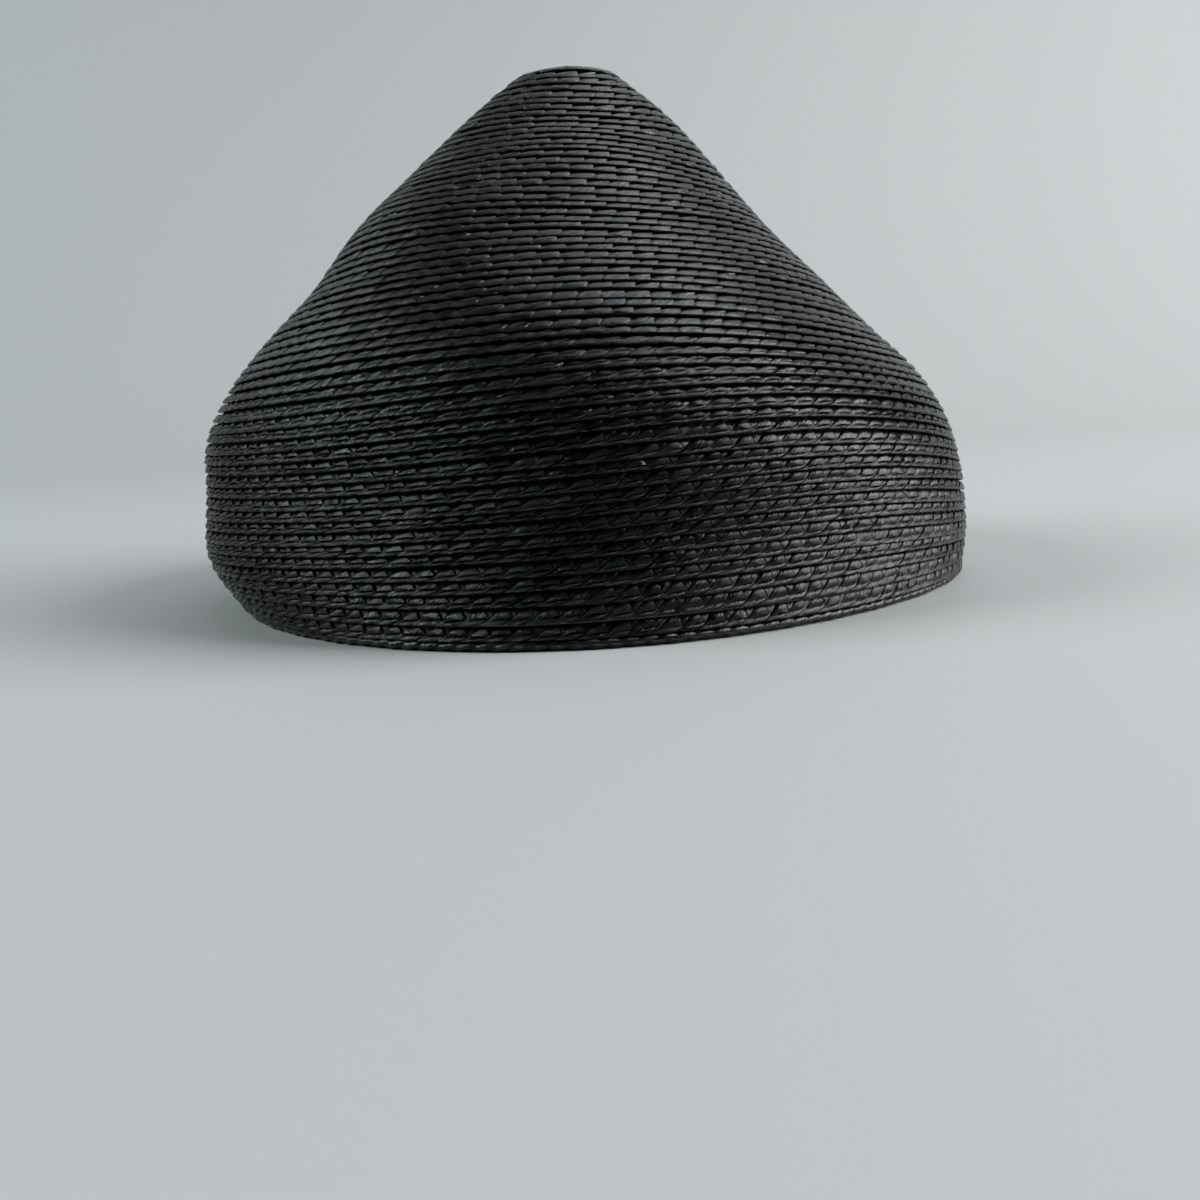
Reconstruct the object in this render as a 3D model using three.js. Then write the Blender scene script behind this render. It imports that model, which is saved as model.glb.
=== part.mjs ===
// Cocktail hat of narrow straw braid, sewn round and round in one spiral from the tip to the rim.
// Millimetres, +Z up. The seen front faces -Y and the rim stands on z = 0.
import * as THREE from "three";
import { mergeVertices } from "three/addons/utils/BufferGeometryUtils.js";

// Rows of braid and the straw wall
const TOP_ROWS = 33;
const SHOULDER_ROWS = 46;
const CROWN_ROWS = 59;
const ALL_ROWS = 60;
const ROW_PITCH = 2.7;
const WALL = 1.7;
const RIB = 0.7;
const LAP = 0.12;
const SEAM_GAP = 0.3;
const COLUMNS = 36;
const INNER_RING_ROWS = 4;
const STRAW = { tip: 0x1a1b1d, crown: 0x17181a, rim: 0x131416, roughness: 0.45 };

// Turned-under rim
const RIM_WALL = 3.0;
const RIM_ROUND = 0.5;
const RIM_ROUND_ROWS = 0.25;

// Coiled tip button
const TIP_RISE = 3.0;
const TIP_TURNS = 4;

// Where the upright axis of the tables stands, so that the origin lies under the middle of the hat's box
const AXIS_X = 3.9;
const AXIS_Y = -1.3;

// How far each row stands out from the upright axis, in eight directions round the hat.
// The reach at the back corners lies midway between its neighbours.
const REACH = [
  { row: 0, right: 9, frontRight: 9, front: 11, frontLeft: 15.5, left: 18, back: 13.5 },
  { row: 6, right: 22, frontRight: 20.5, front: 22, frontLeft: 28, left: 31, back: 27 },
  { row: 13, right: 35, frontRight: 33, front: 36, frontLeft: 42, left: 46, back: 41 },
  { row: 20, right: 47, frontRight: 46, front: 49, frontLeft: 57, left: 60, back: 54 },
  { row: 27, right: 60, frontRight: 59.5, front: 63, frontLeft: 70, left: 72.5, back: 67 },
  { row: 33, right: 72, frontRight: 70.5, front: 75, frontLeft: 81.5, left: 85.5, back: 79 },
  { row: 38, right: 82, frontRight: 80, front: 83.5, frontLeft: 89.5, left: 95, back: 89 },
  { row: 43, right: 88.5, frontRight: 88, front: 89.5, frontLeft: 95.5, left: 101, back: 95.5 },
  { row: 48, right: 92, frontRight: 91.5, front: 92.5, frontLeft: 98.5, left: 101.5, back: 97 },
  { row: 54, right: 94.5, frontRight: 90.5, front: 92.5, frontLeft: 100, left: 102, back: 98 },
  { row: 60, right: 94, frontRight: 89, front: 95.5, frontLeft: 96, left: 94, back: 96 },
];

// How high each row lies above the floor, in the same directions.
const HEIGHT = [
  { row: 0, right: 127.5, frontRight: 127.5, front: 127.5, frontLeft: 127.5, left: 127.5, back: 127.5 },
  { row: 6, right: 116.5, frontRight: 116, front: 116, frontLeft: 117, left: 117.5, back: 117 },
  { row: 13, right: 101.5, frontRight: 102, front: 104.5, frontLeft: 105, left: 104.5, back: 103.5 },
  { row: 20, right: 86.5, frontRight: 89, front: 91.5, frontLeft: 93, left: 90.5, back: 89.5 },
  { row: 27, right: 73, frontRight: 76, front: 79.5, frontLeft: 79, left: 75, back: 75.5 },
  { row: 33, right: 61, frontRight: 64.5, front: 69, frontLeft: 66.5, left: 63.5, back: 63.5 },
  { row: 38, right: 51, frontRight: 55, front: 59, frontLeft: 55.5, left: 53, back: 53 },
  { row: 43, right: 39, frontRight: 45.5, front: 47.5, frontLeft: 43, left: 41.5, back: 41.5 },
  { row: 48, right: 26.5, frontRight: 33.5, front: 34, frontLeft: 30.5, left: 28.5, back: 29 },
  { row: 54, right: 12.5, frontRight: 17.5, front: 18, frontLeft: 15.5, left: 12.5, back: 14 },
  { row: 60, right: 0, frontRight: 0, front: 0, frontLeft: 0, left: 0, back: 0 },
];

// Small steps either side of a point, to find which way the wall faces there
const ROW_STEP = 0.5;
const ANGLE_STEP = 0.02;

// Points closer than this are one point
const SAME_POINT = 1e-3;

const clamp = (value, low, high) => Math.min(Math.max(value, low), high);

// The eight values of a table line, anticlockwise from the right as seen from above.
function around(line) {
  const backLeft = (line.left + line.back) / 2;
  const backRight = (line.right + line.back) / 2;
  return [
    line.right, backRight, line.back, backLeft, line.left, line.frontLeft, line.front, line.frontRight,
  ];
}

// Smooth closed curve through eight equally spaced values, read at an angle from the right.
function readAround(values, angle) {
  let sum = 0;
  values.forEach((value, i) => {
    const away = angle - (i * Math.PI) / 4;
    const half = Math.tan(away / 2);
    const share = Math.abs(half) < 1e-9 ? 1 : Math.sin(4 * away) / (8 * half);
    sum += value * share;
  });
  return sum;
}

// Smooth curve through the table lines at one angle, read at any row.
function readTable(table, row, angle) {
  const last = table.length - 1;
  let k = 0;
  while (k < last - 1 && row > table[k + 1].row) k += 1;
  const value = (i) => readAround(around(table[i]), angle);
  const slope = (i) => {
    const a = Math.max(i - 1, 0);
    const b = Math.min(i + 1, last);
    return (value(b) - value(a)) / (table[b].row - table[a].row);
  };
  const step = table[k + 1].row - table[k].row;
  const t = (row - table[k].row) / step;
  const rise = (t * t) * (3 - 2 * t);
  const leave = t * (1 - t) * (1 - t) * step;
  const arrive = t * t * (t - 1) * step;
  return value(k) * (1 - rise) + value(k + 1) * rise + slope(k) * leave + slope(k + 1) * arrive;
}

// A point of the straw wall's middle face at a row and an angle.
function facePoint(row, angle) {
  const reach = readTable(REACH, row, angle);
  const height = readTable(HEIGHT, row, angle);
  return new THREE.Vector3(reach * Math.cos(angle), reach * Math.sin(angle), height);
}

// The same point moved along the outward normal of the wall.
function wallPoint(row, angle, out) {
  const low = facePoint(Math.max(row - ROW_STEP, 0), angle);
  const high = facePoint(Math.min(row + ROW_STEP, ALL_ROWS), angle);
  const down = high.sub(low);
  const round = facePoint(row, angle + ANGLE_STEP).sub(facePoint(row, angle - ANGLE_STEP));
  const normal = down.cross(round).normalize();
  return facePoint(row, angle).addScaledVector(normal, out);
}

// Faces between two neighbouring lines of points that run round the hat.
function stitch(triangles, upper, lower) {
  for (let j = 0; j + 1 < upper.length; j += 1) {
    triangles.push([upper[j], lower[j], lower[j + 1]]);
    triangles.push([upper[j], lower[j + 1], upper[j + 1]]);
  }
}

// A closed mesh from lines of points, each line joined to the next.
function solid(name, lines, colour) {
  const triangles = [];
  for (let i = 0; i + 1 < lines.length; i += 1) stitch(triangles, lines[i], lines[i + 1]);
  const distinct = triangles.filter(
    ([a, b, c]) => Math.min(a.distanceTo(b), b.distanceTo(c), c.distanceTo(a)) > SAME_POINT,
  );
  const geometry = new THREE.BufferGeometry().setFromPoints(distinct.flat());
  const merged = mergeVertices(geometry, SAME_POINT / 10);
  merged.computeVertexNormals();
  const material = new THREE.MeshStandardMaterial({ color: colour, roughness: STRAW.roughness });
  const mesh = new THREE.Mesh(merged, material);
  mesh.name = name;
  return mesh;
}

// One line of points round the hat, each at its own row.
function lineOfPoints(rowAt, out) {
  const points = [];
  for (let j = 0; j <= COLUMNS; j += 1) {
    const share = j / COLUMNS;
    points.push(wallPoint(rowAt(share), 2 * Math.PI * (share % 1), out));
  }
  return points;
}

// A band of sewn rows: every turn starts tucked in and ends proud of the turn below it.
function makeSewnRows(name, firstRow, lastRow) {
  const rows = lastRow - firstRow;
  const start = firstRow + SEAM_GAP / ROW_PITCH;
  const end = lastRow - SEAM_GAP / ROW_PITCH;
  const rowAfter = (turns) => start + (end - start) * clamp(turns / rows, 0, 1);
  const lines = [];
  for (let turn = 0; turn <= rows; turn += 1) {
    lines.push(lineOfPoints((share) => rowAfter(turn - 1 + share), -RIB / 2));
    lines.push(lineOfPoints((share) => rowAfter(turn + share - LAP), RIB / 2));
  }
  lines.push(lineOfPoints(() => end, -RIB / 2));
  const innerRings = Math.round(rows / INNER_RING_ROWS);
  for (let ring = innerRings; ring >= 0; ring -= 1) {
    const row = start + ((end - start) * ring) / innerRings;
    lines.push(lineOfPoints(() => row, -WALL));
  }
  lines.push(lines[0]);
  return solid(name, lines, STRAW.crown);
}

// The last turn, folded under to a double edge with a level underside.
function makeRimRow() {
  const outline = [
    { row: CROWN_ROWS, out: -RIM_WALL / 2 },
    { row: CROWN_ROWS, out: RIB / 2 - RIM_ROUND },
    { row: CROWN_ROWS + RIM_ROUND_ROWS, out: RIB / 2 },
    { row: ALL_ROWS - RIM_ROUND_ROWS, out: RIB / 2 },
    { row: ALL_ROWS, out: RIB / 2 - RIM_ROUND },
    { row: ALL_ROWS, out: RIB / 2 - RIM_WALL },
    { row: CROWN_ROWS + RIM_ROUND_ROWS, out: RIB / 2 - RIM_WALL },
  ];
  const lines = outline.map(({ row, out }) => lineOfPoints(() => row, out));
  lines.forEach((line, i) => {
    if (outline[i].row === ALL_ROWS) line.forEach((point) => point.setZ(0));
  });
  lines.push(lines[0]);
  return solid("rim_row", lines, STRAW.rim);
}

// The coiled start of the spiral: a low ribbed cap that fills the ring left by the first row.
function makeTipButton() {
  const edge = lineOfPoints(() => 0, -RIB / 2);
  const middle = edge.slice(1).reduce((sum, point) => sum.add(point), new THREE.Vector3());
  middle.divideScalar(COLUMNS);
  const capLine = (shareAt, lift) => edge.map((point, j) => {
    const share = shareAt(j / COLUMNS);
    const inside = middle.clone().lerp(point, share);
    inside.z += TIP_RISE * (1 - share * share) + lift;
    return inside;
  });
  const lines = [];
  for (let turn = 0; turn <= TIP_TURNS; turn += 1) {
    lines.push(capLine((t) => clamp((turn - 1 + t) / TIP_TURNS, 0, 1), 0));
    lines.push(capLine((t) => clamp((turn + t - LAP) / TIP_TURNS, 0, 1), RIB));
  }
  lines.push(edge);
  lines.push(lineOfPoints(() => 0, -WALL));
  lines.push(capLine(() => 0.5, -WALL));
  lines.push(capLine(() => 0, -WALL));
  return solid("tip_button", lines, STRAW.tip);
}

const group = new THREE.Group();
group.name = "cocktail_hat";
group.position.set(AXIS_X, AXIS_Y, 0);
group.add(
  makeTipButton(),
  makeSewnRows("crown_top", 0, TOP_ROWS),
  makeSewnRows("crown_shoulder", TOP_ROWS, SHOULDER_ROWS),
  makeSewnRows("crown_side", SHOULDER_ROWS, CROWN_ROWS),
  makeRimRow(),
);
export default group;
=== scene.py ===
# %% [markdown]
# # A cocktail hat sewn from black straw braid
# The real hat is one long, narrow, flat braid of black straw. It starts as a small coil at the tip and is
# sewn round and round down to the rim, so that every row laps over the row below it.
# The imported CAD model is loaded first. It is the fixed frame that every piece below is built around.

# %% Load the frame
import math

import bpy
import numpy as np
from mathutils import Matrix, Vector


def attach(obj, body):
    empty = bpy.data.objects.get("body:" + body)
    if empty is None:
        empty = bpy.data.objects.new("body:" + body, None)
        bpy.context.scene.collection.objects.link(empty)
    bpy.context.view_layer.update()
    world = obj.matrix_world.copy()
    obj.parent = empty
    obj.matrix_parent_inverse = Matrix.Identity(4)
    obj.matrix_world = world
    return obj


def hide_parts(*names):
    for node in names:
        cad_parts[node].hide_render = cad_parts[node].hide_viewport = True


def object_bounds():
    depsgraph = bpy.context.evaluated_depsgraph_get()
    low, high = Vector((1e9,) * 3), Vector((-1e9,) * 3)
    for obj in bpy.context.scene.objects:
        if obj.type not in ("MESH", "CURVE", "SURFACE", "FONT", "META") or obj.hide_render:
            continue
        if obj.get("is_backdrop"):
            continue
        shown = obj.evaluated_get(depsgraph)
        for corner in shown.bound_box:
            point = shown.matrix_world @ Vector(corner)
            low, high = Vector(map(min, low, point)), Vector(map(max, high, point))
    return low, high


MM = 0.001
TURN = 2 * math.pi
TINY = 1e-9

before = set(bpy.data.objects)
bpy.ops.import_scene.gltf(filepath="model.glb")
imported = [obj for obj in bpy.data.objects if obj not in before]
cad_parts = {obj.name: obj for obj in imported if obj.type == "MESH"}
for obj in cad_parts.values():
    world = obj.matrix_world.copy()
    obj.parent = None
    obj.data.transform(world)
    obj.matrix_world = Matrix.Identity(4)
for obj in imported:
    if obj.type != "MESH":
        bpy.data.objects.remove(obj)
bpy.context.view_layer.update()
bpy.ops.object.select_all(action="DESELECT")

# %% [markdown]
# ## Camera
# The photograph was taken close to the hat, a little above its rim, with the lens tipped down and the
# picture turned slightly. A camera could be placed by eye, but these values were worked out from the rows
# of braid, which act as level lines on the hat, so the sides and the rim fall where they do in the photo.

# %% Camera
PHOTO_SIDE = 1200
PHOTO_FOCAL = 1269
SENSOR = 36.0
CAMERA_PLACE = (1.6, -341.3, 51.7)
CAMERA_DOWN = 9.7
CAMERA_ROLL = -2.7
CLIP_START = 0.01

bpy.ops.object.camera_add(location=[x * MM for x in CAMERA_PLACE])
camera = bpy.context.object
camera.data.sensor_width = SENSOR
camera.data.lens = SENSOR * PHOTO_FOCAL / PHOTO_SIDE
camera.data.clip_start = CLIP_START
tilt = Matrix.Rotation(math.radians(90 - CAMERA_DOWN), 3, "X")
roll = Matrix.Rotation(math.radians(CAMERA_ROLL), 3, "Z")
camera.rotation_euler = (tilt @ roll).to_euler()
bpy.context.scene.camera = camera
print("Camera lens in mm:", round(camera.data.lens, 2))

# %% [markdown]
# ## The form of the hat
# A straw hat has no flat faces to start from: it was steamed over a block and has softened since. Two short
# tables hold its form, as in the CAD source: how far each row stands out from the upright axis, and how high
# it lies, in six directions. The two corners at the back lie midway between their neighbours. Between
# those directions, and between the rows, smooth curves join the values.

# %% Form tables
# Columns: row, right, front right, front, front left, left, back, in millimetres
REACH = (
    (0, 9, 9, 11, 15.5, 18, 13.5),
    (6, 22, 20.5, 22, 28, 31, 27),
    (13, 35, 33, 36, 42, 46, 41),
    (20, 47, 46, 49, 57, 60, 54),
    (27, 60, 59.5, 63, 70, 72.5, 67),
    (33, 72, 70.5, 75, 81.5, 85.5, 79),
    (38, 82, 80, 83.5, 89.5, 95, 89),
    (43, 88.5, 88, 89.5, 95.5, 101, 95.5),
    (48, 92, 91.5, 92.5, 98.5, 101.5, 97),
    (54, 94.5, 90.5, 92.5, 100, 102, 98),
    (60, 94, 89, 95.5, 96, 94, 96),
)
HEIGHT = (
    (0, 127.5, 127.5, 127.5, 127.5, 127.5, 127.5),
    (6, 116.5, 116, 116, 117, 117.5, 117),
    (13, 101.5, 102, 104.5, 105, 104.5, 103.5),
    (20, 86.5, 89, 91.5, 93, 90.5, 89.5),
    (27, 73, 76, 79.5, 79, 75, 75.5),
    (33, 61, 64.5, 69, 66.5, 63.5, 63.5),
    (38, 51, 55, 59, 55.5, 53, 53),
    (43, 39, 45.5, 47.5, 43, 41.5, 41.5),
    (48, 26.5, 33.5, 34, 30.5, 28.5, 29),
    (54, 12.5, 17.5, 18, 15.5, 12.5, 14),
    (60, 0, 0, 0, 0, 0, 0),
)
DIRECTIONS = 8
AXIS = (3.9, -1.3)
ALL_ROWS = 60


def read_table(table, rows, angles):
    """A form table read at each row and each angle: an array of rows by angles."""
    marks = np.array([line[0] for line in table], float)
    right, front_right, front, front_left, left, back = np.array(table, float)[:, 1:].T
    ring = np.stack(
        [right, (right + back) / 2, back, (left + back) / 2, left, front_left, front, front_right]
    )
    away = angles - np.arange(DIRECTIONS)[:, None] * TURN / DIRECTIONS
    half = np.tan(away / 2)
    level = np.abs(half) < TINY
    wave = np.sin(DIRECTIONS / 2 * away)
    share = np.where(level, 1.0, wave / (DIRECTIONS * np.where(level, 1.0, half)))
    lines = ring.T @ share
    before = np.maximum(np.arange(len(marks)) - 1, 0)
    after = np.minimum(np.arange(len(marks)) + 1, len(marks) - 1)
    slope = (lines[after] - lines[before]) / (marks[after] - marks[before])[:, None]
    k = np.clip(np.searchsorted(marks, rows, side="right") - 1, 0, len(marks) - 2)
    step = np.diff(marks)[k][:, None]
    t = (rows - marks[k])[:, None] / step
    rise = t * t * (3 - 2 * t)
    leave = t * (1 - t) ** 2 * step
    arrive = t * t * (t - 1) * step
    return lines[k] * (1 - rise) + lines[k + 1] * rise + slope[k] * leave + slope[k + 1] * arrive


print("Form tables hold", len(REACH), "rows")

# %% [markdown]
# The tables are read once into a fine net of points over the whole hat, with the way that the surface faces
# at each point. Every stitch is then placed by looking up this net, which is quick even for many stitches.

# %% Net over the hat
NET_STEP = 0.25
NET_ANGLES = 720
# Keeps the last look-up inside the net
NET_END = 1.001
# Rows of the coil at the tip, and how high and how flat its dome is
TIP_ROWS = 5
TIP_RISE = 1.6
TIP_FLAT = 6
net_rows = np.arange(-TIP_ROWS, ALL_ROWS + NET_STEP / 2, NET_STEP)
net_angles = np.arange(NET_ANGLES) * TURN / NET_ANGLES


def net_of_points():
    """Points of the hat's face at every net row and angle, with a low dome over the tip."""
    on_table = np.maximum(net_rows, 0)
    reach = read_table(REACH, on_table, net_angles)
    height = read_table(HEIGHT, on_table, net_angles)
    points = np.stack([reach * np.cos(net_angles), reach * np.sin(net_angles), height], -1)
    share = np.minimum(1 + net_rows / TIP_ROWS, 1)[:, None]
    middle = points[0].mean(0)
    points[..., :2] = middle[:2] + (points[..., :2] - middle[:2]) * share[..., None]
    points[..., 2] += TIP_RISE * (1 - share**TIP_FLAT)
    return points + np.array([*AXIS, 0])


def net_of_normals(points):
    """The outward direction at every point of the net."""
    down = np.gradient(points, axis=0)
    onward = np.roll(points, -1, axis=1) - np.roll(points, 1, axis=1)
    normals = np.cross(down, onward)
    size = np.linalg.norm(normals, axis=-1, keepdims=True)
    return np.where(size > TINY, normals / np.maximum(size, TINY), np.array([0, 0, 1.0]))


net = np.concatenate([net_of_points(), net_of_normals(net_of_points())], -1)
print("Net over the hat:", net.shape[0], "rows by", net.shape[1], "angles")


def face_points(rows, angles, out):
    """Points of the hat's face at rows and angles, moved outwards by out, in millimetres."""
    i = np.clip((rows + TIP_ROWS) / NET_STEP, 0, len(net_rows) - NET_END)
    j = (angles / TURN % 1) * NET_ANGLES
    i0 = i.astype(int)
    j0 = j.astype(int) % NET_ANGLES
    j1 = (j0 + 1) % NET_ANGLES
    fi = (i - i0)[..., None]
    fj = (j - np.floor(j))[..., None]
    upper = net[i0, j0] * (1 - fj) + net[i0, j1] * fj
    lower = net[i0 + 1, j0] * (1 - fj) + net[i0 + 1, j1] * fj
    both = upper * (1 - fi) + lower * fi
    return both[..., :3] + both[..., 3:] * out[..., None]


# %% [markdown]
# ## The run of the braid
# The braid steps down by one row in each turn. On the real hat this happens gently, at the back, so that the
# rows lie level at the front and the last row meets the rim. Along this run the stitches are counted off:
# they are a little longer at the tip, where the braid is pulled tight, than at the rim.

# %% Run of the braid
FIRST_TURN = -4.0
LAST_TURN = 60.3
STEP_DOWN_FROM = 0.08
STEP_DOWN_TO = 0.42
STITCH_AT_TIP = 5.5
STITCH_AT_RIM = 4.8
TURN_STEPS = 360
# The stitches are measured along this share of a row above the lower edge
RUN_ABOVE_EDGE = 0.4
RUN_SPARE = 0.5


def lower_edge_row(turn):
    """The row that the braid's lower edge follows: level, then one row lower after each turn."""
    share = np.clip((turn % 1 - STEP_DOWN_FROM) / (STEP_DOWN_TO - STEP_DOWN_FROM), 0, 1)
    return np.floor(turn) + share * share * (3 - 2 * share)


run_turns = np.arange(FIRST_TURN, LAST_TURN + RUN_SPARE, 1 / TURN_STEPS)
run_rows = lower_edge_row(run_turns) - RUN_ABOVE_EDGE
run_points = face_points(run_rows, run_turns * TURN, np.zeros_like(run_turns))
run_steps = np.linalg.norm(np.diff(run_points, axis=0), axis=1)
run_pitch = np.interp(run_turns[1:], (0, ALL_ROWS), (STITCH_AT_TIP, STITCH_AT_RIM))
run_stitches = np.concatenate([[0], np.cumsum(run_steps / run_pitch)])
print("Braid length in metres:", round(run_steps.sum() * MM, 1), "with stitches:", int(run_stitches[-1]))


def turn_at(stitch):
    """How many turns the braid has made when this many stitches are counted."""
    return np.interp(stitch, run_stitches, run_turns)


def stitch_at(turn):
    """How many stitches have been counted after this many turns."""
    return np.interp(turn, run_turns, run_stitches)


# %% [markdown]
# ## One stitch of the braid
# Close up, each row of the wall shows two tiers. The upper tier is a leaf-shaped stretch of strand that
# leans to the right, with a corner of the opposite strand between it and the next leaf. The lower tier is
# the fold at the braid's edge: a block, with a narrow strand beside it that climbs on into the leaf. At the
# right of the wall the braid lies flat, with thin joints, and at the left and front it has opened, so that
# the leaves are lens-shaped and the corners between them are deep holes. On the cone the rows overlap more
# and only a lens-shaped grain of each stitch shows.
# A picture could be drawn on a smooth row, but real grooves catch the light from every side, so each stitch
# is a small patch of mesh whose lines follow the strands.

# %% One stitch
COLUMNS = 8
SEAM = 0.60
LEAF_LEAN = 0.80
BLOCK_LEAN = 1.15
CORNER_WIDE = 0.58
CORNER_TOP = 0.05
CORNER_FOOT = 0.52
CORNER_LEAST = 0.04
# Where a leaf's ridge lies, in shares of the leaf, and the widths of its groove and lip in stitches
LEAF_RIDGE = (0.36, 0.7)
GROOVE = 0.045
LIP = 0.04
# Columns: share of the row's height and distance out in millimetres on the wall, the same two on the cone
# and how far the ends taper there, share of the relief, share of the scallop, tier
LEVELS = (
    (-0.65, -1.20, -0.65, -1.20, 0.00, 0.0, 0.0, "top"),
    (0.02, -0.80, 0.03, -0.76, 0.00, 0.3, 0.0, "top"),
    (0.10, -0.26, 0.11, -0.46, 0.06, 1.0, 0.0, "top"),
    (0.27, -0.09, 0.19, -0.22, 0.12, 1.0, 0.0, "leaf"),
    (0.48, -0.02, 0.28, -0.04, 0.14, 1.0, 0.0, "foot"),
    (0.58, 0.01, 0.40, 0.06, 0.12, 1.0, 0.0, "seam"),
    (0.67, 0.06, 0.57, 0.12, 0.06, 1.0, 0.0, "block"),
    (0.82, 0.17, 0.78, 0.16, 0.00, 1.0, 0.3, "fold"),
    (0.94, 0.17, 0.97, 0.12, -0.07, 0.8, 1.0, "edge"),
    (1.01, -0.12, 1.02, -0.10, -0.08, 0.5, 1.0, "edge"),
)
BACK_LEVELS = ((0.90, -0.46), (-0.65, -1.60))
# How far each column of a tier stands above or below its row, in millimetres: flat at the right of the
# wall, open at its left
RELIEF_RIGHT = {
    "top": (-0.34, -0.01, 0.08, 0.10, 0.06, -0.32, 0.05, 0.00),
    "leaf": (-0.34, -0.01, 0.08, 0.10, 0.06, -0.32, 0.05, 0.00),
    "foot": (-0.32, 0.02, 0.08, 0.09, 0.04, -0.26, 0.00, -0.08),
    "seam": (-0.28, 0.02, 0.04, -0.16, -0.10, 0.00, 0.01, -0.04),
    "block": (-0.26, 0.00, 0.03, -0.04, 0.02, 0.05, 0.05, -0.02),
    "fold": (-0.24, -0.01, 0.04, 0.02, 0.05, 0.08, 0.06, -0.02),
    "edge": (-0.20, -0.03, 0.04, 0.04, 0.06, 0.08, 0.05, -0.03),
}
RELIEF_LEFT = {
    "top": (-0.65, -0.50, -0.15, 0.16, 0.16, -0.55, -0.45, -0.55),
    "leaf": (-0.65, -0.12, 0.14, 0.20, 0.10, -0.62, -0.45, -0.50),
    "foot": (-0.60, 0.10, 0.20, 0.06, -0.25, -0.60, -0.45, -0.45),
    "seam": (-0.52, 0.02, -0.05, -0.45, -0.55, -0.40, -0.25, -0.28),
    "block": (-0.48, -0.04, 0.00, -0.38, -0.12, 0.06, 0.06, -0.08),
    "fold": (-0.44, 0.00, 0.10, -0.06, 0.08, 0.18, 0.14, -0.02),
    "edge": (-0.38, -0.06, 0.06, 0.05, 0.09, 0.13, 0.08, -0.07),
}
# How much deeper the corners between the leaves lie at the far right of the wall
RELIEF_CORNER = {
    "top": (-0.15, 0, 0, 0, 0, -0.25, -0.42, -0.45),
    "leaf": (-0.15, 0, 0, 0, 0, -0.25, -0.42, -0.45),
    "foot": (-0.12, 0, 0, 0, 0, -0.18, -0.25, -0.25),
}
# The relief of a grain on the cone, which fades towards the row's lower edge
RELIEF_GRAIN = (-0.22, -0.10, 0.02, 0.06, 0.08, 0.08, 0.03, -0.10)
GRAIN_FADE = 1.15
BLOCK_PLACES = (0, 0.035, 0.15, 0.25, 0.37, 0.57, 0.80, 0.965)
# How one column after the other rises when a strand lies tilted
TILT = np.array((0, 1, 0.4, -0.4, -1, 0, 0.5, -0.5))
# How far the lower edge is drawn up at each column, in shares of a row
SCALLOP = np.array((0.06, 0.02, 0, 0.01, 0.01, 0, 0, 0.02))
# How much each column of a grain on the cone is drawn in towards the notch between two grains
TAPER = np.array((1, 0.75, 0.35, 0.15, 0, 0, 0.3, 0.75))


def leaf_places(share):
    """Where the columns of a leaf and of the corner beside it lie along the stitch."""
    fall = (share - CORNER_TOP) / (CORNER_FOOT - CORNER_TOP)
    corner = min(max(CORNER_WIDE * (1 - fall), CORNER_LEAST), CORNER_WIDE)
    leaf = 1 - corner
    thin = min(GROOVE, corner / 4)
    ridge = [part * leaf for part in LEAF_RIDGE]
    return (0, GROOVE, *ridge, leaf - LIP, leaf, leaf + thin, 1 - thin)


def tier_places(share, tier):
    """Where the eight columns lie along the stitch at one level."""
    if tier in ("top", "leaf", "foot"):
        return np.array(leaf_places(share))
    if tier == "seam":
        return (np.array(leaf_places(share)) + np.array(BLOCK_PLACES)) / 2
    return np.array(BLOCK_PLACES)


def tier_relief(table):
    """The relief of every level, read from the line of its tier."""
    flat = (0,) * COLUMNS
    return np.stack([np.array(table.get(level[7], flat)) * level[5] for level in LEVELS])


def lean(share):
    """How far a strand leans to the right at one level, in stitches."""
    return (LEAF_LEAN if share < SEAM else BLOCK_LEAN) * (SEAM - share)


wall_share, wall_out, cone_share, cone_out, taper = np.array([level[:5] for level in LEVELS]).T
level_places = np.stack([tier_places(level[0], level[7]) for level in LEVELS])
level_lean = np.array([lean(share) for share in wall_share])
right_relief, left_relief, corner_relief = map(tier_relief, (RELIEF_RIGHT, RELIEF_LEFT, RELIEF_CORNER))
grain_shares = [level[5] * (GRAIN_FADE - level[2]) for level in LEVELS]
cone_relief = np.stack([np.array(RELIEF_GRAIN) * share for share in grain_shares])
wall_shares = wall_share[:, None] - np.stack([SCALLOP * level[6] for level in LEVELS])
cone_shares = cone_share[:, None] + taper[:, None] * TAPER
print("One stitch has", level_places.size, "points on its face")

# %% [markdown]
# ## Braid from stitches
# Thousands of stitches are too many to model one by one, so arrays work out all their points at once. The
# braid is closed all round: the face with its strands, the rounded lower edge, and a plain back that shows
# inside the hat. Small differences from stitch to stitch come from a seeded list, the same in each run.

# %% Braid from stitches
# Columns of the list: height, place, depth, distance out, tint of the leaf and of the fold, lean, tilt
SEED = 11
SPARE_STITCHES = 200
VARIETY_COLUMNS = 8
VARIETY_MOST = 2
stitches_listed = int(run_stitches[-1]) + SPARE_STITCHES
variety_draws = np.random.default_rng(SEED).normal(size=(stitches_listed, VARIETY_COLUMNS))
VARIETY = variety_draws.clip(-VARIETY_MOST, VARIETY_MOST)
VARY_HEIGHT = 0.04
VARY_PLACE = 0.06
VARY_DEPTH = 0.25
VARY_OUT = 0.06
VARY_LEAN = 0.12
VARY_TILT = 0.08
# Waves of the slow drift along the braid: turns of the wave in each turn of the braid, size
WAVES = ((0.37, 0.5), (1.13, 0.35), (2.71, 0.3), (6.37, 0.25))
WAVE_STARTS = 5
EDGE_WANDER = 0.12
RIM_CALM_ROWS = 2
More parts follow.
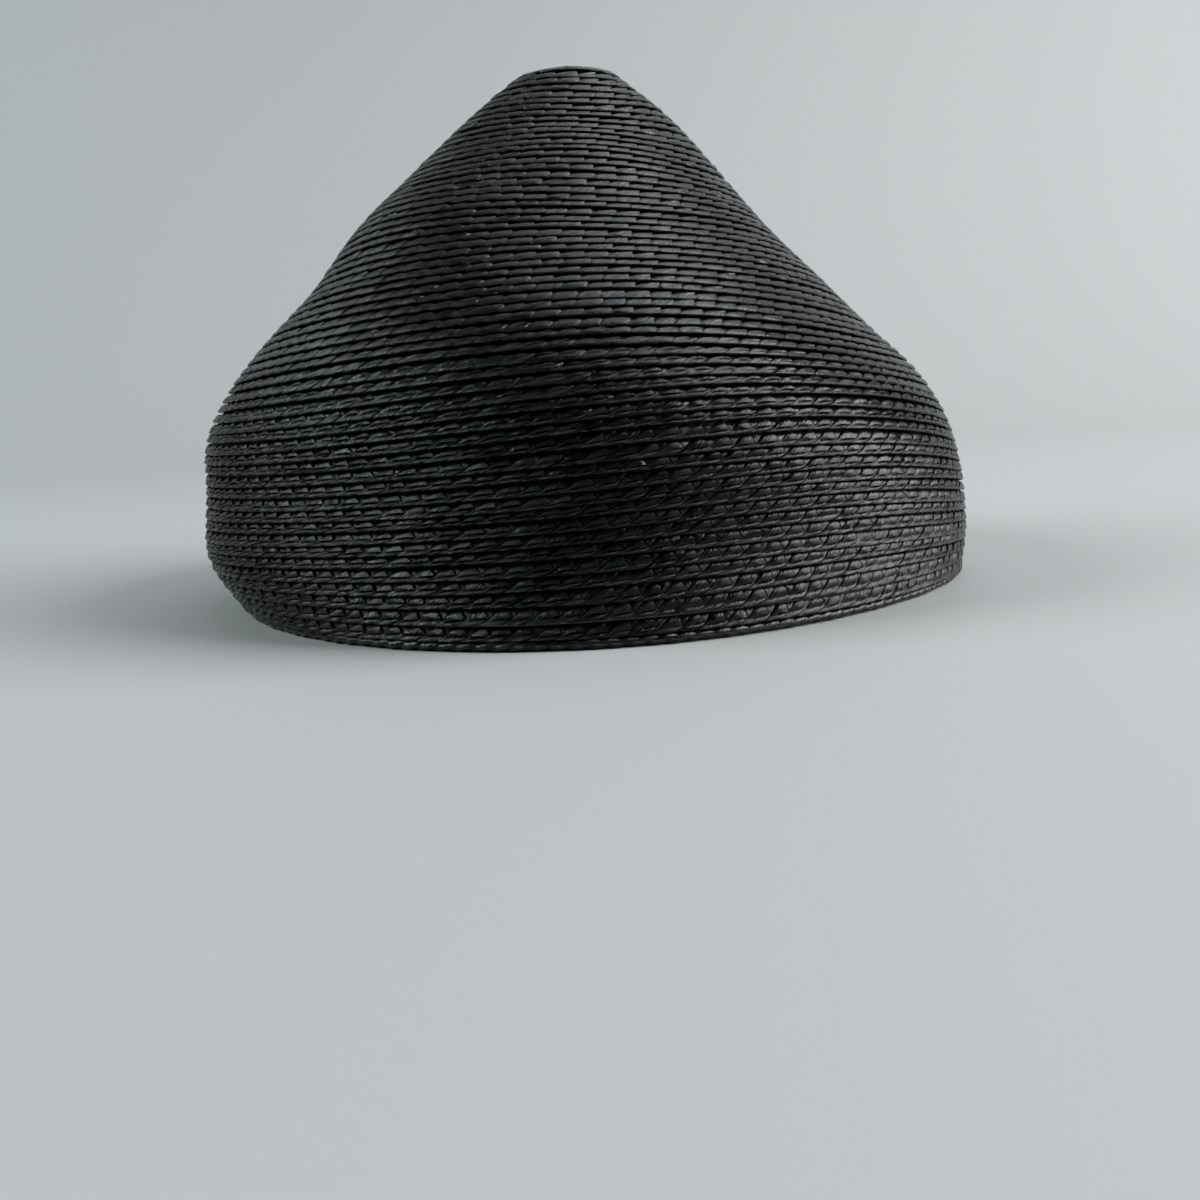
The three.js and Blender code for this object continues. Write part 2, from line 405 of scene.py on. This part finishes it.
# The leaves are lower at the far left and taller at the front, and their tops sink at the left
LEFT_RISE = 0.12
LEFT_CURVE = 3
FRONT_DROP = 0.10
LEFT_SINK = 0.40
UPPER_SHARE = 0.4
DEEP_CURVE = 0.55
# Leftness at which the corners are deepest, and at which they are no deeper than elsewhere
FAR_RIGHT = (0.05, 0.15)
# In the first turn the hidden upper edge reaches further, to the middle of the coil
CENTRE_REACH = 1.8
# On the cone the joints stand more upright, and the fibres lean instead
CONE_ROWS = (34, 45)
CONE_UPRIGHT = 0.75
FIBRE_LEAN = 0.4
RIM_FROM = 59
# Near the rim the rows are drawn down and the last one goes in behind the rim cord
RIM_ROWS = (57, 59, 60.02)
DRAWN_ROWS = (57, 59.3, 59.7)
RIM_TUCK = 0.6
TUCK_RATE = 3


def wander(turn):
    """A slow, uneven drift along the braid, about one up and one down."""
    return sum(
        size * np.sin(TURN * (rate * turn + k / WAVE_STARTS)) for k, (rate, size) in enumerate(WAVES)
    )


def coneness(turn):
    """One on the cone, none on the wall below the shoulder."""
    return np.interp(turn, CONE_ROWS, (1, 0))


def leftness(turn):
    """One at the left of the wall, a half at its front and back, none at its right or on the cone."""
    return (1 - np.cos(turn * TURN)) / 2 * (1 - coneness(turn))


def deepness(turn):
    """Like leftness, but most of the depth is already there at the front of the wall."""
    return ((1 - np.cos(turn * TURN)) / 2) ** DEEP_CURVE * (1 - coneness(turn))


def on_spiral(stitch, share, out):
    """Points of the sewn braid: share runs from the upper to the lower edge of its visible row."""
    turn = turn_at(stitch)
    sway = EDGE_WANDER * wander(turn) * np.clip((RIM_FROM - turn) / RIM_CALM_ROWS, 0, 1)
    left = leftness(turn)
    share = np.where(turn < FIRST_TURN + 1, np.minimum(share, share * CENTRE_REACH), share)
    front = np.clip(-np.sin(turn * TURN), 0, 1) * (1 - coneness(turn))
    rise = LEFT_RISE * left**LEFT_CURVE - FRONT_DROP * front
    share = share - rise * np.sin(np.pi * np.clip(share, 0, 1))
    out = out - LEFT_SINK * left * np.clip(1 - share / UPPER_SHARE, 0, 1)
    row = lower_edge_row(turn) - 1 + share * (1 + sway)
    tuck = RIM_TUCK * np.clip((row - RIM_FROM) * TUCK_RATE, 0, 1)
    row = np.where(row < RIM_ROWS[0], row, np.interp(row, RIM_ROWS, DRAWN_ROWS))
    return face_points(row, turn * TURN, out - tuck)


def braid_points(first, count, place):
    """Face points (columns by levels), their strand coordinates and the back points of a run of stitches."""
    stitch = first + np.arange(count + 2)
    vary = VARIETY[stitch % len(VARIETY)][:, :, None]
    cone = coneness(turn_at(stitch))[:, None]
    leaning = level_lean[None] * (1 + VARY_LEAN * vary[:, 6]) * (1 - CONE_UPRIGHT * cone)
    bounds = stitch[:, None] + VARY_PLACE * vary[:, 1] + leaning
    steps = np.diff(bounds, axis=0)[..., None]
    stitch, vary, cone = stitch[:-1], vary[:-1, :, :, None], cone[:-1, :, None]
    across = wall_shares[None] * (1 - cone) + cone_shares[None] * cone
    proud = wall_out[None, :, None] * (1 - cone) + cone_out[None, :, None] * cone
    left = leftness(turn_at(stitch))[:, None, None]
    far = np.clip((FAR_RIGHT[1] - left) / (FAR_RIGHT[1] - FAR_RIGHT[0]), 0, 1) * (1 - cone)
    deep = deepness(turn_at(stitch))[:, None, None]
    wall_relief = left_relief * deep + right_relief * (1 - deep - cone) + corner_relief * far
    height = wall_relief + cone_relief * cone
    middle = np.sin(np.pi * np.clip(across, 0, 1))
    share = across + VARY_HEIGHT * vary[:, 0] * middle
    along = bounds[:-1, :, None] + level_places[None] * steps
    strand = stitch[:, None, None] + level_places[None] + 0 * along
    relief = height * (1 + VARY_DEPTH * vary[:, 2]) + VARY_TILT * vary[:, 7] * TILT * middle
    out = proud + relief + VARY_OUT * vary[:, 3] * middle
    face = place(along, share, out).transpose(0, 2, 1, 3).reshape(-1, len(LEVELS), 3)
    chart = np.stack([strand, share], -1).transpose(0, 2, 1, 3).reshape(-1, len(LEVELS), 2)
    back_along = (stitch[:, None] + np.array([0, 0.5])).reshape(-1)
    backs = [
        place(back_along, np.full_like(back_along, s), np.full_like(back_along, o))
        for s, o in BACK_LEVELS
    ]
    last = count * COLUMNS + 1
    return face[:last], chart[:last], np.stack(backs, 1)[: count * 2 + 1]


def fan(face_line, back_line, face_first):
    """Triangles between a line of the face, with four columns a step, and a line of the back."""
    step = COLUMNS // 2
    triangles = []
    b = np.arange(len(back_line) - 1)
    for j in range(step):
        near = back_line[b] if j < step / 2 else back_line[b + 1]
        a, c = face_line[b * step + j], face_line[b * step + j + 1]
        triangles.append(np.stack([a, near, c] if face_first else [near, a, c], 1))
    middle = face_line[b * step + step // 2]
    start, end = back_line[b], back_line[b + 1]
    triangles.append(np.stack([middle, start, end] if face_first else [start, middle, end], 1))
    return np.concatenate(triangles)


def braid_faces(columns, backs):
    """Quads and triangles that close a braid of so many face columns and back columns."""
    levels = len(LEVELS)
    face = np.arange(columns * levels).reshape(columns, levels)
    back = columns * levels + np.arange(backs * 2).reshape(backs, 2)
    sheets = [face, back]
    quads = np.concatenate(
        [
            np.stack([s[:-1, :-1], s[:-1, 1:], s[1:, 1:], s[1:, :-1]], -1).reshape(-1, 4)
            for s in sheets
        ]
    )
    lower = fan(face[:, -1], back[:, 0], True)
    upper = fan(face[:, 0], back[:, 1], False)
    return face, back, quads, np.concatenate([lower, upper])


# %% [markdown]
# A mesh is filled from arrays in one go. The strand coordinates go into a UV map, so that the fine lines of
# the straw run along each strand, and a tint value gives every stretch of strand its own shade.

# %% Mesh from arrays
CREASE = math.radians(45)
# Where the two lines of the back lie across the strand map
BACK_CHART = (1.2, 2.0)


def mesh_piece(name, points, polygons, chart, tint, material):
    """A smooth mesh object from points in millimetres and lists of polygons of one size each."""
    mesh = bpy.data.meshes.new(name)
    corners = np.concatenate([p.reshape(-1) for p in polygons]).astype(np.int32)
    sizes = np.concatenate([np.full(len(p), p.shape[1]) for p in polygons])
    starts = np.concatenate([[0], np.cumsum(sizes)[:-1]]).astype(np.int32)
    mesh.vertices.add(len(points))
    mesh.vertices.foreach_set("co", (points * MM).astype(np.float32).ravel())
    mesh.loops.add(len(corners))
    mesh.loops.foreach_set("vertex_index", corners)
    mesh.polygons.add(len(sizes))
    mesh.polygons.foreach_set("loop_start", starts)
    mesh.update(calc_edges=True)
    mesh.shade_smooth()
    mesh.set_sharp_from_angle(angle=CREASE)
    layer = mesh.uv_layers.new(name="strand")
    layer.data.foreach_set("uv", chart[corners].astype(np.float32).ravel())
    shade = mesh.attributes.new("tint", "FLOAT", "POINT")
    shade.data.foreach_set("value", tint.astype(np.float32))
    mesh.materials.append(material)
    piece = bpy.data.objects.new(name, mesh)
    bpy.context.collection.objects.link(piece)
    triangles = int((sizes - 2).sum())
    print(name, "has", triangles, "triangles")
    return piece


def braid_piece(name, first, count, place, material):
    """A closed run of braid as one mesh object."""
    face, chart, back = braid_points(first, count, place)
    face_index, back_index, quads, triangles = braid_faces(len(face), len(back))
    ends = np.stack(
        [
            np.concatenate([face_index[0, ::-1], back_index[0, ::-1]]),
            np.concatenate([face_index[-1], back_index[-1]]),
        ]
    )
    back_along = np.repeat(np.arange(len(back)) / 2 + first, 2)
    back_chart = np.stack([back_along, np.tile(BACK_CHART, len(back))], 1)
    points = np.concatenate([face.reshape(-1, 3), back.reshape(-1, 3)])
    charts = np.concatenate([chart.reshape(-1, 2), back_chart])
    tint = VARIETY[np.floor(charts[:, 0]).astype(int) % len(VARIETY), 4 + (charts[:, 1] > SEAM)]
    charts[:, 0] += FIBRE_LEAN * coneness(turn_at(charts[:, 0])) * charts[:, 1]
    return mesh_piece(name, points, [quads, triangles, ends], charts, tint, material)


# %% [markdown]
# ## Black straw
# The straw is dyed black and has a satin face: it is nearly black where it looks at a dark room, and grey
# where it mirrors a window. A plain black would look like plastic. So fine lines run along every strand as
# bump, each strand has its own slight shade, from a cool to a warm black, and the gloss is uneven.

# %% Black straw
SPECULAR = 0.26
# Fibre lines: how finely they lie across and along a strand, and how deep they are in millimetres
FIBRE_SCALE = (14, 0.7, 1)
FIBRE_DETAIL = 2.0
FIBRE_DEPTH = 0.22
# How much of a strand's tint counts, and the values that reach the darkest and lightest shade and gloss
TINT_SHARE = 0.18
SHADE_FROM, SHADE_TO = 0.25, 0.85
GLOSS_FROM, GLOSS_TO = 0.2, 0.8


def black_straw(name, dark, light, gloss):
    """Satin black straw with fibre lines along its strands."""
    material = bpy.data.materials.new(name)
    material.use_nodes = True
    nodes, links = material.node_tree.nodes, material.node_tree.links
    shader = nodes["Principled BSDF"]
    shader.inputs["Specular IOR Level"].default_value = SPECULAR
    chart = nodes.new("ShaderNodeUVMap")
    chart.uv_map = "strand"
    stretch = nodes.new("ShaderNodeMapping")
    stretch.inputs["Scale"].default_value = FIBRE_SCALE
    links.new(chart.outputs["UV"], stretch.inputs["Vector"])
    fibre = nodes.new("ShaderNodeTexNoise")
    fibre.inputs["Scale"].default_value = 1.0
    fibre.inputs["Detail"].default_value = FIBRE_DETAIL
    links.new(stretch.outputs["Vector"], fibre.inputs["Vector"])
    bump = nodes.new("ShaderNodeBump")
    bump.inputs["Strength"].default_value = 1.0
    bump.inputs["Distance"].default_value = FIBRE_DEPTH * MM
    links.new(fibre.outputs["Fac"], bump.inputs["Height"])
    links.new(bump.outputs["Normal"], shader.inputs["Normal"])
    tint = nodes.new("ShaderNodeAttribute")
    tint.attribute_name = "tint"
    mix = nodes.new("ShaderNodeMath")
    mix.operation = "MULTIPLY_ADD"
    mix.inputs[1].default_value = TINT_SHARE
    links.new(tint.outputs["Fac"], mix.inputs[0])
    links.new(fibre.outputs["Fac"], mix.inputs[2])
    ramp = nodes.new("ShaderNodeValToRGB")
    ramp.color_ramp.elements[0].position = SHADE_FROM
    ramp.color_ramp.elements[0].color = (*dark, 1)
    ramp.color_ramp.elements[1].position = SHADE_TO
    ramp.color_ramp.elements[1].color = (*light, 1)
    links.new(mix.outputs["Value"], ramp.inputs["Fac"])
    links.new(ramp.outputs["Color"], shader.inputs["Base Color"])
    rough = nodes.new("ShaderNodeMapRange")
    rough.inputs["From Min"].default_value = GLOSS_FROM
    rough.inputs["From Max"].default_value = GLOSS_TO
    rough.inputs["To Min"].default_value = gloss[0]
    rough.inputs["To Max"].default_value = gloss[1]
    links.new(mix.outputs["Value"], rough.inputs["Value"])
    links.new(rough.outputs["Result"], shader.inputs["Roughness"])
    return material


DARK = (0.0008, 0.0010, 0.0012)
LIGHT = (0.0036, 0.0042, 0.0046)
GLOSS = (0.20, 0.36)
crown_straw = black_straw("crown_black_straw", DARK, LIGHT, GLOSS)
tip_straw = black_straw("tip_black_straw", DARK, LIGHT, GLOSS)
rim_straw = black_straw("rim_black_straw", DARK, LIGHT, GLOSS)
print("Straw finishes:", [m.name for m in bpy.data.materials if m.name.endswith("straw")])

# %% [markdown]
# ## Tip, crown and rim
# The braid is cut into lengths only so that no mesh grows too large. Each length stands for the CAD node
# that lies there and takes that node's finish.

# %% Tip, crown and rim
# Columns: piece, first turn, last turn, CAD node, finish, slot
LENGTHS = (
    ("tip_coil", FIRST_TURN, 0.5, "tip_button", tip_straw, "tip_straw"),
    ("crown_braid_1", 0.5, 24.5, "crown_top", crown_straw, "crown_straw"),
    ("crown_braid_2", 24.5, 33.5, "crown_top", crown_straw, "crown_straw"),
    ("crown_braid_3", 33.5, 40.0, "crown_shoulder", crown_straw, "crown_straw"),
    ("crown_braid_4", 40.0, 46.5, "crown_shoulder", crown_straw, "crown_straw"),
    ("crown_braid_5", 46.5, 53.0, "crown_side", crown_straw, "crown_straw"),
    ("crown_braid_6", 53.0, 59.25, "crown_side", crown_straw, "crown_straw"),
    ("rim_braid", 59.25, 60.2, "rim_row", rim_straw, "rim_straw"),
)
for name, first_turn, last_turn, node, finish, slot in LENGTHS:
    first = int(round(float(stitch_at(first_turn))))
    count = int(round(float(stitch_at(last_turn)))) - first
    piece = braid_piece(name, first, count, on_spiral, finish)
    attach(piece, "root")
    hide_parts(node)

# %% [markdown]
# ## Folded rim
# Below the last row the braid is turned under. Its edge shows from outside as a thin twisted cord on which
# the hat stands, and the turned-under width lies inside it as a ring of the same stitches with a level foot.
# The cord is one closed ring: its round section turns as it goes, and two flutes in it make the twist.

# %% Turned-under ring
FOLD_STITCHES = 120
FOLD_ROWS = 1.15
FOLD_OUT = -1.5
FOLD_LEAN = -0.6


def on_fold(stitch, share, out):
    """Points of the turned-under ring, with nothing below the floor."""
    row = ALL_ROWS - (1 - share) * FOLD_ROWS
    points = face_points(row, stitch * TURN / FOLD_STITCHES, out + FOLD_OUT + FOLD_LEAN * (1 - share))
    points[..., 2] = np.maximum(points[..., 2], 0)
    return points


fold = braid_piece("rim_fold", 0, FOLD_STITCHES, on_fold, rim_straw)
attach(fold, "root")
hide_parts("rim_row")

# %% Rim cord
CORD_TWISTS = 76
CORD_STEPS = 1520
CORD_ROUND = 16
CORD_RADIUS = 0.98
CORD_OUT = -0.62
CORD_FLUTE = 0.45
FLUTE_CURVE = 0.7
CORD_ABOVE_EDGE = 0.01
# The cord is a little thicker and thinner by turns: size, waves round the hat, and how they drift
UNEVEN = 0.10
UNEVEN_WAVES = 37
DRIFT = 0.3
DRIFT_WAVES = 5

cord_step = np.arange(CORD_STEPS)[:, None] / CORD_STEPS
cord_turn = np.arange(CORD_ROUND)[None] / CORD_ROUND
strand_place = cord_turn * 2 - cord_step * CORD_TWISTS * 2
flute = np.abs(np.sin(np.pi * strand_place)) ** FLUTE_CURVE
drift = DRIFT * np.sin(TURN * cord_step * DRIFT_WAVES)
uneven = 1 + UNEVEN * np.sin(TURN * (cord_step * UNEVEN_WAVES + drift))
cord_radius = CORD_RADIUS * (1 - CORD_FLUTE + CORD_FLUTE * flute) * uneven
cord_row = np.full_like(cord_radius, ALL_ROWS - CORD_ABOVE_EDGE)
cord_angle = cord_step * TURN + 0 * cord_radius
cord_points = face_points(cord_row, cord_angle, CORD_OUT + cord_radius * np.cos(cord_turn * TURN))
cord_points[..., 2] += CORD_RADIUS + cord_radius * np.sin(cord_turn * TURN)
cord_points[..., 2] = np.maximum(cord_points[..., 2] - cord_points[..., 2].min(), 0)
index = np.arange(CORD_STEPS * CORD_ROUND).reshape(CORD_STEPS, CORD_ROUND)
onward = np.roll(index, -1, 0)
cord_quads = np.stack([index, onward, np.roll(onward, -1, 1), np.roll(index, -1, 1)], -1).reshape(-1, 4)
cord_chart = np.stack([strand_place / 2, cord_turn + 0 * strand_place], -1).reshape(-1, 2)
cord_tint = VARIETY[np.floor(strand_place).astype(int) % len(VARIETY), 4].reshape(-1)
cord = mesh_piece("rim_cord", cord_points.reshape(-1, 3), [cord_quads], cord_chart, cord_tint, rim_straw)
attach(cord, "root")
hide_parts("rim_row")

# %% [markdown]
# ## A bare strand
# Along the lower edge of the row above the last, one straw has pulled straight and shows as a fine smooth
# line across the front. It is a thin tube laid on that edge.

# %% Bare strand
STRAND_TURNS = (57.68, 57.87)
STRAND_STEPS = 160
STRAND_ROUND = 6
STRAND_RADIUS = 0.17
# Where the strand lies on its row, and how far out in millimetres
STRAND_SHARE = 0.99
STRAND_OUT = 0.30
# It thins to nothing past these shares of its length
STRAND_ENDS = (0.02, 0.98)
STRAND_CHART = 0.2

strand_turn = np.linspace(*STRAND_TURNS, STRAND_STEPS)
strand_stitch = stitch_at(strand_turn)
strand_share = np.full(STRAND_STEPS, STRAND_SHARE)
middle_line = on_spiral(strand_stitch, strand_share, np.full(STRAND_STEPS, STRAND_OUT))
outer_line = on_spiral(strand_stitch, strand_share, np.full(STRAND_STEPS, STRAND_OUT + 1))
outward = outer_line - middle_line
run = np.gradient(middle_line, axis=0)
upward = np.cross(outward, run)
upward /= np.linalg.norm(upward, axis=1, keepdims=True)
round_turn = np.arange(STRAND_ROUND) * TURN / STRAND_ROUND
thinning = np.sqrt(np.sin(np.pi * np.linspace(*STRAND_ENDS, STRAND_STEPS)))
thin = STRAND_RADIUS * thinning[:, None, None]
tube = middle_line[:, None] + thin * (
    outward[:, None] * np.cos(round_turn)[None, :, None]
    + upward[:, None] * np.sin(round_turn)[None, :, None]
)
index = np.arange(STRAND_STEPS * STRAND_ROUND).reshape(STRAND_STEPS, STRAND_ROUND)
beside = np.roll(index, -1, 1)
tube_quads = np.stack([index[:-1], index[1:], beside[1:], beside[:-1]], -1).reshape(-1, 4)
tube_ends = np.stack([index[0], index[-1, ::-1]])
tube_across = STRAND_CHART * round_turn[None]
tube_chart = np.stack(np.broadcast_arrays(tube_across, strand_stitch[:, None]), -1).reshape(-1, 2)
tube_tint = np.zeros(STRAND_STEPS * STRAND_ROUND)
tube_faces = [tube_quads, tube_ends]
strand = mesh_piece("bare_strand", tube.reshape(-1, 3), tube_faces, tube_chart, tube_tint, crown_straw)
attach(strand, "root")
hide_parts("crown_side")

# %% [markdown]
# ## Floor and backdrop
# The hat stands on a plain pale floor that rises behind it in a soft curve, so that no line crosses the
# picture. It is a plane whose far edge is pulled up, with the corner rounded by a bevel. Its own colour is a
# mid grey that strong lamps make pale, so that it throws little light back onto the hat's dark front.

# %% Floor and backdrop
FLOOR_SIDE = 3.0
FLOOR_PLACE = (0, -0.3, 0)
WALL_RISE = 2.0
CORNER_ROUND = 0.6
CORNER_STEPS = 24
NEAR = 0.01
PALE = (0.27, 0.27, 0.268)
PALE_ROUGHNESS = 0.7

bpy.ops.mesh.primitive_plane_add(size=FLOOR_SIDE, location=FLOOR_PLACE)
floor = bpy.context.object
floor.name = "floor"
bpy.ops.object.transform_apply(location=True, rotation=True, scale=True)
bpy.ops.object.mode_set(mode="EDIT")
bpy.ops.mesh.select_all(action="DESELECT")
bpy.ops.object.mode_set(mode="OBJECT")
far_edge = max(v.co.y for v in floor.data.vertices)
for edge in floor.data.edges:
    edge.select = all(floor.data.vertices[i].co.y > far_edge - NEAR for i in edge.vertices)
bpy.ops.object.mode_set(mode="EDIT")
bpy.ops.mesh.select_mode(type="EDGE")
bpy.ops.mesh.extrude_region_move(TRANSFORM_OT_translate={"value": (0, 0, WALL_RISE)})
bpy.ops.object.mode_set(mode="OBJECT")
for edge in floor.data.edges:
    ends = [floor.data.vertices[i].co for i in edge.vertices]
    edge.select = all(end.y > far_edge - NEAR and end.z < NEAR for end in ends)
bpy.ops.object.mode_set(mode="EDIT")
bpy.ops.mesh.bevel(offset=CORNER_ROUND, segments=CORNER_STEPS)
bpy.ops.object.mode_set(mode="OBJECT")
bpy.ops.object.shade_smooth()
pale = bpy.data.materials.new("pale_floor")
pale.use_nodes = True
pale_shader = pale.node_tree.nodes["Principled BSDF"]
pale_shader.inputs["Base Color"].default_value = (*PALE, 1)
pale_shader.inputs["Roughness"].default_value = PALE_ROUGHNESS
floor.data.materials.append(pale)
floor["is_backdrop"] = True
print("Floor has", len(floor.data.polygons), "faces")

# %% [markdown]
# ## Light
# The photograph has window light from the right and above, a weaker light from the left, and a dark room in
# front. Large soft lamps at the right and the left stand for these, a weak one above and behind lights the
# cone, and a dim sky fills in the rest.

# %% Light
# Columns: lamp, place in metres, width and height in metres, watts, colour
LAMPS = (
    ("window_right", (1.6, -0.24, 0.95), (1.4, 1.6), 84.0, (0.96, 0.995, 1.02)),
    ("fill_left", (-1.6, -0.22, 1.15), (1.2, 1.1), 41.0, (0.88, 1.0, 1.01)),
    ("sky_above", (0.4, 0.40, 1.5), (1.8, 1.3), 12.0, (0.95, 1.0, 1.03)),
)
AIM = (0.0, 0.0, 0.06)
SKY = (0.80, 0.82, 0.84)
SKY_STRENGTH = 0.03

for name, place, (wide, high), watts, colour in LAMPS:
    bpy.ops.object.light_add(type="AREA", location=place)
    lamp = bpy.context.object
    lamp.name = name
    lamp.data.shape = "RECTANGLE"
    lamp.data.size, lamp.data.size_y = wide, high
    lamp.data.energy = watts
    lamp.data.color = colour
    towards = Vector(AIM) - lamp.location
    lamp.rotation_euler = towards.to_track_quat("-Z", "Y").to_euler()
world = bpy.data.worlds.new("soft_sky")
bpy.context.scene.world = world
world.use_nodes = True
world.node_tree.nodes["Background"].inputs["Color"].default_value = (*SKY, 1)
world.node_tree.nodes["Background"].inputs["Strength"].default_value = SKY_STRENGTH
bpy.context.scene.view_settings.view_transform = "Standard"
print("Lamps:", [lamp[0] for lamp in LAMPS])

# %% [markdown]
# ## Size
# The box of the finished pieces is printed in metres, so that the hat's size in Blender can be seen.

# %% Size
low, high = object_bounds()
print("Visual box in metres:", [round(x, 4) for x in (*low, *high)])
